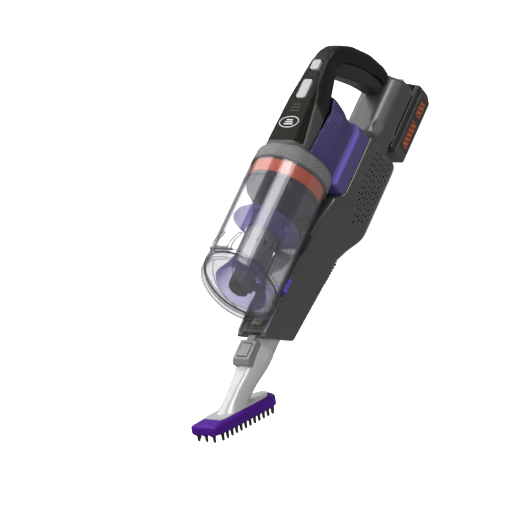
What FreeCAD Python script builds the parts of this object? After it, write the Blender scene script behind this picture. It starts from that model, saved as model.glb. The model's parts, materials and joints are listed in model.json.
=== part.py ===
import FreeCAD, Part
import math, os

# Cordless stick vacuum, hand unit with a rubber-nub pet tool plugged in.
# Everything is modelled in a working frame whose X axis is the axis of the clear dust bin:
# X = 0 at the joint between bin and lock ring, +X towards the hand grip, nose at -X, +Z up.
# Each node is moved to the row frame (table at Z = 0) when it is written.

V = FreeCAD.Vector
os.makedirs("parts", exist_ok=True)

# ---------------------------------------------------------------- driving dimensions, mm
AXIS_HEIGHT = 150.0      # bin axis above the table
AXIS_SHIFT = 56.7        # moves the working origin so that the whole box is centred
SPLIT_GAP = 0.05         # parting line between two shell halves

BIN_R = 52.5             # outside of the clear dust bin
BIN_WALL = 2.2
LID_X = -159.5           # where the oblique lid plane crosses the bin axis
LID_SLOPE = 0.24         # the lid plane leans this much in X for every mm in Z
LID_GAP = 0.4
LID_DOME_R = 190.0
LID_DOME_RISE = 8.0
LID_DEPTH = 8.0          # height of the lid's rim beyond its joint with the bin
SEAL_DEPTH = 1.3
HINGE_X = -147.5
HINGE_Z = 57.5
HINGE_PIN_R = 1.5

RING_LENGTH = 22.0
RING_FIT = 0.08
SPIGOT_R = 47.5

COLUMN_X0 = 24.0         # back of the lock ring clearance
COLUMN_X1 = 124.0        # wall facing the fingers
COLUMN_W = 38.0          # half width of the ribbed cover
SEAM_Z = -66.0           # joint between ribbed cover and motor housing
HOUSING_W = 40.0
SHELL = 2.6

DUCT_W = 23.0
DUCT_TOP = -56.0
DUCT_BORE_R = 19.05
TOOL_SPIGOT_R = 19.0
DUCT_Z = -82.0

BATTERY_X0 = 136.0
BATTERY_X1 = 240.0
BATTERY_W = 35.0
BATTERY_TOP = -96.0
BATTERY_BOTTOM = -150.0

HEAD_TILT = 38.0         # sole of the pet tool against the bin axis, degrees
HEAD_TOE = (-345.0, -46.6)
HEAD_LENGTH = 135.0
HEAD_HALF = 22.0

MOTOR_Z = -104.0
MOTOR_R = 30.0

X = V(1, 0, 0)
Y = V(0, 1, 0)
Z = V(0, 0, 1)


# ---------------------------------------------------------------- small helpers
def box(x0, x1, y0, y1, z0, z1):
    return Part.makeBox(x1 - x0, y1 - y0, z1 - z0, V(x0, y0, z0))


def cyl_x(r, x0, x1, y=0.0, z=0.0):
    return Part.makeCylinder(r, x1 - x0, V(x0, y, z), X)


def cyl_y(r, y0, y1, x, z):
    return Part.makeCylinder(r, y1 - y0, V(x, y0, z), Y)


def cyl_z(r, z0, z1, x, y):
    return Part.makeCylinder(r, z1 - z0, V(x, y, z0), Z)


def tube_x(ro, ri, x0, x1, y=0.0, z=0.0):
    return cyl_x(ro, x0, x1, y, z).cut(cyl_x(ri, x0 - 1, x1 + 1, y, z))


def cone_x(r0, r1, x0, x1, y=0.0, z=0.0):
    return Part.makeCone(r0, r1, x1 - x0, V(x0, y, z), X)


def merge(shapes):
    """One clean solid from shapes that overlap."""
    out = shapes[0]
    if len(shapes) > 1:
        out = out.fuse(shapes[1:])
    return out.removeSplitter()


def rounded_wire(points, place):
    """Closed outline with arc corners. points are (u, v) or (u, v, radius)."""
    count = len(points)
    edges = []
    ends = []
    for i in range(count):
        p = points[i]
        r = p[2] if len(p) > 2 else 0.0
        a = points[i - 1]
        b = points[(i + 1) % count]
        if r <= 0.0:
            ends.append((place(p[0], p[1]), None, place(p[0], p[1])))
            continue
        ax, ay = a[0] - p[0], a[1] - p[1]
        bx, by = b[0] - p[0], b[1] - p[1]
        la, lb = math.hypot(ax, ay), math.hypot(bx, by)
        ax, ay, bx, by = ax / la, ay / la, bx / lb, by / lb
        half = 0.5 * math.acos(max(-1.0, min(1.0, ax * bx + ay * by)))
        run = r / math.tan(half)
        mx, my = ax + bx, ay + by
        lm = math.hypot(mx, my)
        mid = r / math.sin(half) - r
        ends.append((
            place(p[0] + ax * run, p[1] + ay * run),
            place(p[0] + mx / lm * mid, p[1] + my / lm * mid),
            place(p[0] + bx * run, p[1] + by * run),
        ))
    for i in range(count):
        start, through, stop = ends[i]
        if through is not None:
            edges.append(Part.Arc(start, through, stop).toShape())
        after = ends[(i + 1) % count][0]
        if stop.distanceToPoint(after) > 1e-4:
            edges.append(Part.makeLine(stop, after))
    return Part.Wire(edges)


def prism_y(points, y0, y1):
    wire = rounded_wire(points, lambda u, v: V(u, y0, v))
    return Part.Face(wire).extrude(V(0, y1 - y0, 0))


def prism_x(points, x0, x1):
    wire = rounded_wire(points, lambda u, v: V(x0, u, v))
    return Part.Face(wire).extrude(V(x1 - x0, 0, 0))


def prism_z(points, z0, z1):
    wire = rounded_wire(points, lambda u, v: V(u, v, z0))
    return Part.Face(wire).extrude(V(0, 0, z1 - z0))


def both_sides(half):
    """Mirror a half outline (u >= 0, listed from the top down) across u = 0."""
    left = [(-p[0],) + tuple(p[1:]) for p in reversed(half)]
    return list(half) + left


def mirror_y_outline(half):
    """Mirror a half outline given as (x, y >= 0) across y = 0."""
    other = [(p[0], -p[1]) + tuple(p[2:]) for p in reversed(half)]
    return list(half) + other


def section_loft(sections):
    """Flat-faced body through outlines at several X positions."""
    wires = []
    for x, half in sections:
        pts = [V(x, u, v) for u, v in both_sides(half)]
        wires.append(Part.makePolygon(pts + [pts[0]]))
    return Part.makeLoft(wires, True, True)


def lid_side(offset, keep_nose):
    """Half space on one side of the oblique lid plane, moved along X by offset."""
    far = -420.0 if keep_nose else 320.0
    top = LID_X + offset + LID_SLOPE * 120.0
    low = LID_X + offset - LID_SLOPE * 120.0
    return prism_y([(far, 120), (top, 120), (low, -120), (far, -120)], -120, 120)


def head_place(shape):
    """From the pet tool's own frame (x along the sole, z away from it) to the working frame."""
    shape.rotate(V(0, 0, 0), Y, HEAD_TILT)
    shape.translate(V(HEAD_TOE[0], 0, HEAD_TOE[1]))
    return shape


def save(name, shape):
    out = shape.copy()
    out.translate(V(AXIS_SHIFT, 0, AXIS_HEIGHT))
    out.exportStep(os.path.join("parts", name + ".step"))
    b = out.BoundBox
    print("%-22s solids %2d valid %s  X %7.1f %7.1f  Y %6.1f %6.1f  Z %6.1f %6.1f" % (
        name, len(out.Solids), out.isValid(), b.XMin, b.XMax, b.YMin, b.YMax, b.ZMin, b.ZMax))


# ---------------------------------------------------------------- dust bin
def bin_shell():
    wall = cyl_x(BIN_R, -200, -LID_GAP).cut(cyl_x(BIN_R - BIN_WALL, -201, 1))
    flange = cyl_x(BIN_R + 1.0, -200, -100).cut(cyl_x(BIN_R - BIN_WALL, -201, -99))
    flange = flange.common(lid_side(4.0, True))
    body = merge([wall, flange]).common(lid_side(0.0, False))
    knuckles = []
    for side in (-1, 1):
        y0 = side * 13.0 - 3.0
        arm = prism_y([(HINGE_X - 4, HINGE_Z + 4, 3), (HINGE_X + 8, HINGE_Z + 4, 4),
                       (HINGE_X + 30, 51.0), (HINGE_X + 4, 51.0), (HINGE_X - 4, 55.0, 2)], y0, y0 + 6)
        knuckles.append(arm)
    body = merge([body] + knuckles)
    body = body.cut(cyl_y(HINGE_PIN_R, -17, 17, HINGE_X, HINGE_Z))
    body = body.cut(cyl_x(BIN_R - BIN_WALL, -220, 1))
    port = prism_z([(-72, -17, 5), (-48, -17, 5), (-48, 17, 5), (-72, 17, 5)], -60, -30)
    return body.cut(port)


def bin_lid():
    n = V(-1, 0, LID_SLOPE)
    n.normalize()
    centre = V(LID_X - LID_GAP - LID_DEPTH, 0, 0) - n * (LID_DOME_R - LID_DOME_RISE)
    dome = Part.makeSphere(LID_DOME_R, centre).cut(Part.makeSphere(LID_DOME_R - 2.0, centre))
    dome = dome.common(cyl_x(BIN_R - 2.2, -240, -100)).common(lid_side(-LID_GAP, True))
    rim = cyl_x(BIN_R + 0.6, -240, -100).cut(cyl_x(BIN_R - 3.0, -241, -99))
    rim = rim.common(lid_side(-LID_GAP, True)).common(lid_side(-LID_GAP - LID_DEPTH - 2.0, False))
    rim = rim.cut(seal_band(0.15, SEAL_DEPTH + 0.15))
    catch = box(-186, -172.4, -7, 7, -55.2, -52.3).common(lid_side(-LID_GAP, True))
    knuckle = cyl_y(3.6, -9.6, 9.6, HINGE_X, HINGE_Z)
    web = prism_y([(HINGE_X - 3.5, HINGE_Z + 1.0), (HINGE_X - 0.2, 54.1), (HINGE_X - 0.7, 53.0),
                   (HINGE_X - 1.8, 51.9), (HINGE_X - 4.4, 51.4), (HINGE_X - 4.9, 55.0)], -9.6, 9.6)
    body = merge([merge([dome, rim, catch]), merge([knuckle, web])])
    return body.cut(cyl_y(HINGE_PIN_R + 0.06, -12, 12, HINGE_X, HINGE_Z))


def seal_band(play, depth):
    """Ring that follows the oblique rim of the lid, opposite the end of the bin wall."""
    ring = cyl_x(BIN_R - 0.4 + play, -230, -100).cut(cyl_x(BIN_R - 1.7 - play, -231, -99))
    return ring.common(lid_side(-LID_GAP, True)).common(lid_side(-LID_GAP - depth, False))


def lid_seal():
    return seal_band(0.0, SEAL_DEPTH)


# ---------------------------------------------------------------- separator and filter
def separator_flange():
    disc = cyl_x(49.6, -20, -2.0).cut(cyl_x(46.0, -21, -6.0))
    return disc.cut(cyl_x(22.0, -22, 0))


def turned_shell(outside, wall):
    """Hollow body of revolution about the bin axis from (x, radius) points of its outer face."""
    inside = [(x, r - wall) for x, r in reversed(outside)]
    pts = [V(x, 0, r) for x, r in outside + inside]
    return Part.Face(Part.makePolygon(pts + [pts[0]])).revolve(V(0, 0, 0), X, 360)


def separator_funnel():
    """Bowl that leads the air from the flange down to the shroud."""
    bowl = turned_shell([(-20.3, 49.2), (-26, 48.4), (-32, 45.0), (-38, 39.0), (-44, 33.0), (-50, 28.6),
                         (-57, 26.0)], 1.8)
    return merge([bowl, tube_x(25.0, 22.3, -59, -55)])


def separator_shroud():
    body = tube_x(22.0, 20.5, -133.9, -6.05)
    slots = []
    for i in range(12):
        slot = box(-108, -34, -1.3, 1.3, 15, 26)
        slot.rotate(V(0, 0, 0), X, 30.0 * i)
        slots.append(slot)
    return body.cut(Part.makeCompound(slots))


def separator_vane():
    """Flared collar that throws the dust outwards, open towards the lid."""
    flare = turned_shell([(-61, 27.0), (-65, 38.0), (-70, 43.0), (-76, 45.0)], 1.6)
    back = turned_shell([(-76, 45.0), (-82, 35.0), (-89, 25.4)], 1.6)
    return merge([flare, back, tube_x(25.9, 22.3, -63, -60)])


def separator_skirt():
    cone = cone_x(42.0, 24.0, -176, -138).cut(cone_x(40.2, 22.2, -176.01, -138.01))
    cone = cone.common(lid_side(-4.0, False))
    return merge([cone, cyl_x(24.0, -138.0, -134.0)]).cut(cyl_x(14.2, -150, -130))


def separator_cap():
    stem = cyl_x(14.0, -190, -122.2).common(lid_side(-10.3, False))
    dimple = Part.makeSphere(20.0, V(-187.5, 0, 0))
    return stem.cut(dimple).cut(cyl_x(11.0, -163, -122.0))


def pleated_filter():
    pts = []
    for i in range(48):
        r = 18.5 if i % 2 == 0 else 14.5
        a = math.radians(7.5 * i)
        pts.append((r * math.cos(a), r * math.sin(a)))
    return prism_x(pts, -100, 20).cut(cyl_x(12.0, -101, 21))


def filter_end_rings():
    return Part.makeCompound([tube_x(20.0, 8.0, -104, -100.05), tube_x(20.0, 12.0, 20.05, 23.0)])


# ---------------------------------------------------------------- lock ring and its seat
def lock_ring():
    r_in = SPIGOT_R + RING_FIT
    pts = [(0.0, r_in), (0.0, 51.0), (1.2, BIN_R), (RING_LENGTH - 4, BIN_R - 0.9),
           (RING_LENGTH - 1.2, BIN_R - 2.0), (RING_LENGTH, BIN_R - 3.6), (RING_LENGTH, r_in)]
    wire = Part.makePolygon([V(a, 0, b) for a, b in pts] + [V(pts[0][0], 0, pts[0][1])])
    ring = Part.Face(wire).revolve(V(0, 0, 0), X, 360)
    flutes = []
    for i in range(60):
        flute = cyl_x(1.1, 3.0, RING_LENGTH - 5.0, 0, BIN_R + 0.45)
        flute.rotate(V(0, 0, 0), X, 6.0 * i)
        flutes.append(flute)
    return ring.cut(Part.makeCompound(flutes))


def bin_seat():
    spigot = tube_x(SPIGOT_R, 43.5, -0.4, 23.0)
    plate = cyl_x(SPIGOT_R, RING_LENGTH + 0.4, COLUMN_X0 - 0.05).cut(cyl_x(20.1, 0, 60))
    return merge([spigot, plate])


def lid_release():
    """Strap under the bin with a thumb pad on each side of the duct and a bar that holds the lid."""
    strap = tube_x(54.4, 53.2, -140, -126)
    wedge = Part.makePolygon([V(-200, 0, 0), V(-200, 60, -75), V(-200, -60, -75), V(-200, 0, 0)])
    wedge = Part.Face(wedge).extrude(V(120, 0, 0))
    pads = tube_x(58.4, 53.2, -142, -122)
    cheek = box(-150, -100, -60, 60, -70, -36).cut(box(-151, -99, -25, 25, -71, -30))
    bar = tube_x(54.8, 53.8, -171.5, -126).common(box(-200, -100, -6, 6, -60, -40))
    return merge([strap.common(wedge), pads.common(cheek).common(wedge), bar])


def bin_seal():
    return tube_x(49.9, 47.6, -1.9, -0.3)


# ---------------------------------------------------------------- ribbed cover, column above the seam
def column_plan(inset):
    w = COLUMN_W - inset
    x1 = COLUMN_X1 - inset
    x0 = COLUMN_X0 + (2.05 if inset else 0.0)
    return mirror_y_outline([(x0, w), (x1, w, 25.0 - inset)])


def column_block(inset):
    i = inset
    x0 = COLUMN_X0 - 2.0
    flare = section_loft([
        (x0, [(35 - i, 26), (38 - i, -10), (38 - i, -46), (38 - i, SEAM_Z)]),
        (100, [(26 - i, 26), (36.5 - i, -18), (38 - i, -46), (38 - i, SEAM_Z)]),
        (163, [(15.5 - i, 26), (34 - i, -30), (38 - i, -46), (38 - i, SEAM_Z)]),
    ])
    waist = [(60, 60), (60, -30), (38.0 - i, -38), (38.0 - i, -46 + i / 2, 6), (34.0 - i, -51 + i / 2, 3),
             (34.0 - i, SEAM_Z)]
    return flare.common(prism_z(column_plan(i), -80, 60)).common(prism_x(both_sides(waist), x0, 170))


def ribbed_cover():
    outer = column_block(0.0)
    above = prism_y([(0, 28.2), (24, 24), (100, 11), (163, 20), (163, 90), (0, 90)], -60, 60)
    body = outer.cut(above).cut(column_block(SHELL))
    body = body.cut(cyl_x(20.1, 0, 60))
    grooves = []
    for i in range(13):
        z = -36.0 + 3.2 * i
        for side in (-1, 1):
            grooves.append(box(COLUMN_X0 + 6, 96, side * 38.0 - 1.3, side * 38.0 + 1.3, z, z + 1.4))
    return body.cut(Part.makeCompound(grooves))


# ---------------------------------------------------------------- motor housing, bridge and battery foot
SCREWS = [(12.0, -74.0), (10.0, -128.0), (117.0, -80.0), (112.0, -137.0), (205.0, -86.0)]


def housing_block(inset):
    i = inset
    top = SEAM_Z - 0.05
    prof = [(-42 + i, top + 9.6 - i), (COLUMN_X0 - 8 - i, top + 9.6 - i), (COLUMN_X0 - 0.1 - i, top - i),
            (132 - i, top - i, 14), (132 - i, -150 + i, 34 - i), (28, -150 + i, 40), (-42 + i, -124 + i)]
    plan = mirror_y_outline([(-42 + i, 23.0 - i), (-20, 25.0 - i, 30), (24, HOUSING_W - i, 24),
                             (132 - i, HOUSING_W - i, 25)])
    half = [(34.6 - i, SEAM_Z + 12), (34.6 - i, SEAM_Z), (HOUSING_W - i, -80.0, 12),
            (HOUSING_W - i, -150 + i, 30 - i)]
    body = prism_y(prof, -60, 60).common(prism_z(plan, -160, -40))
    return body.common(prism_x(both_sides(half), -60, 140))


def bridge_block():
    half = [(19.0, -76.0, 3), (33.0, -90.0, 6), (BATTERY_W, -99.0, 4), (BATTERY_W, -112.6)]
    bar = prism_x(both_sides(half), 112.0, 229.0)
    trim = prism_y([(112, -60), (222, -60), (226, -76), (229, -92, 8), (226, -113), (118, -113)], -50, 50)
    bar = bar.common(trim)
    return bar.cut(box(133.5, 240, -30.6, 30.6, -120, BATTERY_TOP + 0.4))


def bridge_hollow():
    half = [(16.4, -78.6), (30.4, -91.6), (30.4, -93.0)]
    return prism_x(both_sides(half), 112.0, 220.0)


def screw(x, z):
    screw_and_head = merge([cyl_y(1.5, -14, 37, x, z), cyl_y(3.0, 34.5, 37.0, x, z)])
    return screw_and_head.common(box(-100, 300, -14, 60, -200, 0))


def bridge_screw(x, z):
    return merge([cyl_y(1.5, -10, 24, x, z), cyl_y(2.8, 21.5, 24.0, x, z)])


def screws():
    out = [screw(x, z) for x, z in SCREWS[:-1]]
    out.append(bridge_screw(*SCREWS[-1]))
    return Part.makeCompound(out)


def housing_halves():
    outer = merge([housing_block(0.0), bridge_block()])
    inner = merge([housing_block(SHELL), bridge_hollow()])
    bosses = [cyl_y(4.2, -39, 39, x, z).common(outer) for x, z in SCREWS]
    body = merge([outer.cut(inner)] + bosses)
    body = body.cut(box(COLUMN_X0 + 5, COLUMN_X1 - 8, -30, 30, SEAM_Z - 4, SEAM_Z + 3))
    body = body.cut(box(120, 134, -9.1, 9.1, -107.1, -98.9))
    wells = [cyl_y(3.1, 37, 60, x, z) for x, z in SCREWS[:-1]]
    wells.append(cyl_y(2.9, 24, 60, *SCREWS[-1]))
    vents = []
    for row in range(7):
        for col in range(13):
            x = 6.0 + 9.0 * col + 2.2 * (row % 2)
            z = -88.0 - 6.0 * row
            slot = box(x, x + 5.5, -60, 60, z, z + 1.7)
            slot.rotate(V(x, 0, z), Y, 25)
            vents.append(slot)
    field = prism_y([(6, -106), (44, -84), (108, -86), (122, -100), (119, -126), (20, -127)], -60, 60)
    body = body.cut(Part.makeCompound(vents).common(field).cut(Part.makeCompound(bosses)))
    body = body.cut(screws()).cut(Part.makeCompound(wells))
    left = body.common(box(-100, 300, SPLIT_GAP / 2, 90, -200, 60))
    right = body.common(box(-100, 300, -90, -SPLIT_GAP / 2, -200, 60))
    return left, right


# ---------------------------------------------------------------- nose duct
DUCT_PROFILE = [(-204, DUCT_TOP, 2), (-42.05, DUCT_TOP), (-42.05, -123.9), (-66, -121, 10),
                (-173, -109.5, 2)]


def duct_shell():
    body = prism_y(DUCT_PROFILE, -DUCT_W, DUCT_W)
    rails = [box(-196, -80, s * 21.0 - 1.5, s * 21.0 + 1.5, DUCT_TOP - 2, DUCT_TOP + 1.4) for s in (-1, 1)]
    body = merge([body] + rails)
    body = body.cut(cyl_x(DUCT_BORE_R, -210, -100, 0, DUCT_Z))
    body = body.cut(cone_x(DUCT_BORE_R, 17.0, -100, -92, 0, DUCT_Z))
    body = body.cut(cyl_x(17.0, -93, -66, 0, DUCT_Z))
    body = body.cut(box(-72, -48, -15, 15, -99, -40))
    body = body.cut(box(-190, -170, -9.5, 9.5, DUCT_TOP - 4.0, DUCT_TOP + 3))
    return body.cut(box(-206, -196, -14.6, 14.6, DUCT_TOP - 6.0, DUCT_TOP + 3))


def contact_socket():
    body = box(-189.9, -170.1, -9.4, 9.4, DUCT_TOP - 3.9, DUCT_TOP - 1.0)
    for y in (-5, 0, 5):
        body = body.cut(box(-187, -173, y - 1.2, y + 1.2, DUCT_TOP - 2.4, DUCT_TOP))
    return body


def contact_pins():
    return Part.makeCompound([box(-186.6, -173.4, y - 1.0, y + 1.0, DUCT_TOP - 2.35, DUCT_TOP - 1.5)
                              for y in (-5, 0, 5)])


def rubber_pad():
    pad = prism_y([(-78, -116), (-30.0, -116), (-30.0, -131.0, 2), (-36, -135, 3), (-72, -131, 3)], -12, 12)
    pad = pad.cut(prism_y(DUCT_PROFILE, -30, 30)).cut(housing_block(0.0))
    ribs = [box(-72 + 5.0 * i, -70 + 5.0 * i, -20, 20, -137, -129.0 - 0.35 * i) for i in range(8)]
    return pad.cut(Part.makeCompound(ribs))


def inlet_collar():
    outer = prism_z([(-76, -27, 8), (-44.5, -27, 8), (-44.5, 27, 8), (-76, 27, 8)], DUCT_TOP + 0.05, -30)
    outer = outer.cut(cyl_x(BIN_R + 0.4, -230, 30))
    rails = [box(-80.1, -79, s * 21.0 - 1.6, s * 21.0 + 1.6, DUCT_TOP, DUCT_TOP + 1.5) for s in (-1, 1)]
    outer = outer.cut(Part.makeCompound(rails))
    return outer.cut(box(-72, -48, -15, 15, -70, -20))


# ---------------------------------------------------------------- handle
def black_block(inset):
    i = inset
    return section_loft([
        (COLUMN_X0, [(21 - i, 44 - i), (33.5 - i, 30 - i), (35 - i, 26), (35 - i, 24.05)]),
        (100, [(18 - i, 44 - i), (24.5 - i, 35 - i), (26 - i, 29), (26 - i, 11.05)]),
        (163, [(13.5 - i, 41.5 - i), (15 - i, 37 - i), (15.5 - i, 28), (15.5 - i, 20.05)]),
    ])


def hand_hole():
    outline = [(124, -90), (124, 6, 12), (138, 17.0, 8), (155, 15.0, 9), (170, -14, 40), (183, -42, 50),
               (197, -90)]
    return prism_y(outline, -60, 60)


def panel_cut():
    """Pockets for both switches, the display, the indicator bars and the badge."""
    pockets = [
        prism_z([(96.6, -7.9, 4), (127.4, -7.9, 4), (127.4, 7.9, 4), (96.6, 7.9, 4)], 35.0, 60),
        prism_z([(142.6, -7.2, 4), (159.4, -7.2, 4), (159.4, 7.2, 4), (142.6, 7.2, 4)], 35.0, 60),
        box(130.5, 140.5, -7.5, 7.5, 41.2, 60),
    ]
    return Part.makeCompound(pockets)


def panel_solid():
    plan = prism_z(mirror_y_outline([(31, 29.5), (60, 26), (100, 21.0), (141.5, 11.0, 4)]), 0, 80)
    return black_block(0.0).common(plan).cut(black_block(1.3))


def top_shell():
    body = black_block(0.0)
    hollow = black_block(SHELL).common(box(COLUMN_X0 + 2.6, 118, -50, 50, 0, 60))
    body = body.cut(hollow).cut(hand_hole()).cut(panel_solid()).cut(panel_cut())
    return body.cut(cyl_x(20.1, 0, 60))


def control_panel():
    body = panel_solid().cut(panel_cut())
    return body.cut(badge_outline(0.0)).cut(indicator_bars(0.0))


def badge_oval(half_x, half_y, z0, z1):
    curve = Part.Ellipse(V(59, half_y, z0), V(59 + half_x, 0, z0), V(59, 0, z0))
    return Part.Face(Part.Wire([curve.toShape()])).extrude(V(0, 0, z1 - z0))


def badge_outline(lift):
    """Plain oval ring with three short bars in it."""
    ring = badge_oval(9.0, 15.5, 43.5, 44.0 + lift).cut(badge_oval(7.9, 14.4, 43.0, 45.0 + lift))
    bars = [box(58.2 + 3.2 * i, 59.8 + 3.2 * i, -6 + i, 6 - i, 43.5, 44.0 + lift) for i in (-1, 0, 1)]
    return Part.makeCompound([ring] + bars)


def indicator_bars(lift):
    return Part.makeCompound([box(76.0 + 5.0 * i, 78.2 + 5.0 * i, -8 + i, 8 - i, 43.4, 44.0 + lift)
                              for i in range(3)])


def near_path(x, z, path):
    """Distance in the XZ plane from a point to a chain of straight segments."""
    best = 1e9
    for (ax, az), (bx, bz) in zip(path[:-1], path[1:]):
        dx, dz = bx - ax, bz - az
        t = max(0.0, min(1.0, ((x - ax) * dx + (z - az) * dz) / (dx * dx + dz * dz)))
        best = min(best, math.hypot(x - ax - t * dx, z - az - t * dz))
    return best


def soften(body, radius, half_width, path, reach):
    """Round the long edges of a band that run along path on both flanks."""
    picked = []
    for edge in body.Edges:
        mid = edge.valueAt(0.5 * (edge.FirstParameter + edge.LastParameter))
        flat = all(abs(abs(v.Point.y) - half_width) < 0.01 for v in edge.Vertexes)
        if flat and abs(abs(mid.y) - half_width) < 0.01 and near_path(mid.x, mid.z, path) < reach:
            picked.append(edge)
    return body.makeFillet(radius, picked)


GRIP_OUTSIDE = [(163.05, 41.5), (178, 38.5), (194, 29.0), (208, 9.0), (223, -27.0), (229, -62.0),
                (227, -75.95)]


def grip_skin():
    """Outer half of the grip, over the knuckles, down to the bridge."""
    outline = [(163.05, 41.5), (178, 38.5, 24), (194, 29.0, 24), (208, 9.0, 40), (223, -27.0, 60),
               (229, -62.0, 20), (227, -75.95), (208.05, -75.95), (208.05, -60.0, 20), (196.05, -24.0, 60),
               (186.05, -2.0, 30), (176.05, 14.0, 14), (163.05, 20.05)]
    body = prism_y(outline, -15.5, 15.5)
    return soften(body, 7.0, 15.5, GRIP_OUTSIDE, 3.0)


def grip_core():
    """Inner half of the grip, facing the fingers, standing on the bridge."""
    outline = [(141, 16.75), (163, 19.95), (176, 13.95, 14), (186, -2.0, 30), (196, -24.0, 60),
               (208, -60.0, 20), (208, -75.95), (193, -75.95), (183, -42, 50), (170, -14, 40),
               (155, 15.0, 9), (141, 16.6)]
    body = prism_y(outline, -15.0, 15.0)
    inside = [(155, 15), (170, -14), (183, -42), (191, -70)]
    return soften(body, 2.0, 15.0, inside, 3.0)


def power_button():
    cap = prism_z([(97, -7.5, 3.8), (127, -7.5, 3.8), (127, 7.5, 3.8), (97, 7.5, 3.8)], 40.0, 45.2)
    top = [e for e in cap.Edges if min(v.Point.z for v in e.Vertexes) > 45.1]
    return cap.makeFillet(1.0, top)


def boost_button():
    cap = prism_z([(143, -6.8, 3.8), (159, -6.8, 3.8), (159, 6.8, 3.8), (143, 6.8, 3.8)], 38.5, 44.8)
    top = [e for e in cap.Edges if min(v.Point.z for v in e.Vertexes) > 44.7]
    return cap.makeFillet(1.0, top)


def display_window():
    return box(130.6, 140.4, -7.4, 7.4, 41.25, 42.6)


def switch_board():
    board = box(84, 116, -9, 9, 31.0, 32.6)
    switch = box(108, 114, -3, 3, 32.6, 37.0)
    plunger = cyl_z(1.2, 37.0, 38.4, 111, 0)
    lamps = [box(76.0 + 5.0 * i + 8.0, 78.0 + 5.0 * i + 8.0, -1, 1, 32.6, 33.6) for i in range(3)]
    return merge([board, switch, plunger] + lamps)


# ---------------------------------------------------------------- motor, fan and electronics
def motor_can():
    body = tube_x(MOTOR_R, MOTOR_R - 1.5, 46, 100, 0, MOTOR_Z)
    back = cyl_x(MOTOR_R, 98, 100, 0, MOTOR_Z).cut(cyl_x(8.05, 90, 101, 0, MOTOR_Z))
    front = cyl_x(MOTOR_R, 46, 48, 0, MOTOR_Z).cut(cyl_x(8.05, 40, 60, 0, MOTOR_Z))
    body = merge([body, back, front])
    holes = []
    for i in range(8):
        hole = cyl_x(4.0, 97, 101, 0, 18.0)
        hole.rotate(V(0, 0, 0), X, 45.0 * i)
        hole.translate(V(0, 0, MOTOR_Z))
        holes.append(hole)
    return body.cut(Part.makeCompound(holes))


def motor_mounts():
    rings = []
    for x0 in (52.0, 90.0):
        ring = tube_x(MOTOR_R + 4.0, MOTOR_R + 0.02, x0, x0 + 6, 0, MOTOR_Z)
        pads = [box(x0, x0 + 6, s * 33.0 - 2.5, s * 33.0 + 2.5, MOTOR_Z - 6, MOTOR_Z + 6) for s in (-1, 1)]
        pads = [p.cut(cyl_x(MOTOR_R + 1.0, 0, 150, 0, MOTOR_Z)) for p in pads]
        rings.append(merge([ring] + pads))
    return Part.makeCompound(rings)


def stator():
    body = tube_x(MOTOR_R - 1.52, 15.5, 56, 90, 0, MOTOR_Z)
    slots = []
    for i in range(6):
        slot = box(55, 91, -2.0, 2.0, 15, 25)
        slot.rotate(V(0, 0, 0), X, 60.0 * i)
        slot.translate(V(0, 0, MOTOR_Z))
        slots.append(slot)
    return body.cut(Part.makeCompound(slots))


def motor_bearings():
    return Part.makeCompound([tube_x(8.0, 3.05, x0, x0 + 4, 0, MOTOR_Z) for x0 in (46.0, 96.0)])


def rotor_shaft():
    return cyl_x(3.0, 27, 103, 0, MOTOR_Z)


def rotor_core():
    return tube_x(14.5, 3.0, 58, 88, 0, MOTOR_Z)


def impeller():
    disc = tube_x(25.0, 3.0, 41, 43, 0, MOTOR_Z)
    hub = tube_x(7.0, 3.0, 30, 41, 0, MOTOR_Z)
    blades = []
    for i in range(9):
        blade = box(33, 41.2, -0.7, 0.7, 6.5, 24.5)
        blade.rotate(V(0, 0, 6.5), X, 24)
        blade.rotate(V(0, 0, 0), X, 40.0 * i)
        blade.translate(V(0, 0, MOTOR_Z))
        blades.append(blade)
    return merge([disc, hub] + blades)


def fan_shroud():
    body = tube_x(MOTOR_R, 28.0, 27, 45.9, 0, MOTOR_Z)
    face = tube_x(MOTOR_R, 14.0, 25, 27, 0, MOTOR_Z)
    return merge([body, face])


def air_elbow():
    outer = box(26.3, 46, -22, 22, -62, 22)
    inner = box(24, 44, -20, 20, -66, 20)
    return outer.cut(inner)


def control_board():
    board = box(56, 112, -24, 24, -30, -28.4)
    parts = [box(62, 72, -20, -8, -28.4, -20), box(80, 96, 2, 18, -28.4, -17),
             cyl_z(5.0, -28.4, -14.0, 66, 8),
             cyl_z(5.0, -28.4, -14.0, 76, -14)]
    return merge([board] + parts)


def terminal_block():
    body = box(121, 133.4, -9.0, 9.0, -107.0, -99.0)
    blades = [box(133.0, 143.0, y - 0.4, y + 0.4, -106, -100) for y in (-6, 0, 6)]
    return merge([body] + blades)


# ---------------------------------------------------------------- battery pack
def battery_profile(i):
    return [(BATTERY_X0 + i, BATTERY_TOP - i), (BATTERY_X1 - 12 - i, BATTERY_TOP - i, 8),
            (BATTERY_X1 - i, -116, 14), (BATTERY_X1 - i, -138, 10),
            (BATTERY_X1 - 8 - i, BATTERY_BOTTOM + i, 5),
            (BATTERY_X0 + i, BATTERY_BOTTOM + i, 3)]


def battery_block(i):
    half = [(30.0 - i, BATTERY_TOP - i), (30.0 - i, -113.4 - i), (BATTERY_W - i, -113.4 - i, 1.0),
            (BATTERY_W - i, BATTERY_BOTTOM + i, 4)]
    full = prism_x(both_sides(half), 100, 260)
    return prism_y(battery_profile(i), -60, 60).common(full)


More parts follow.
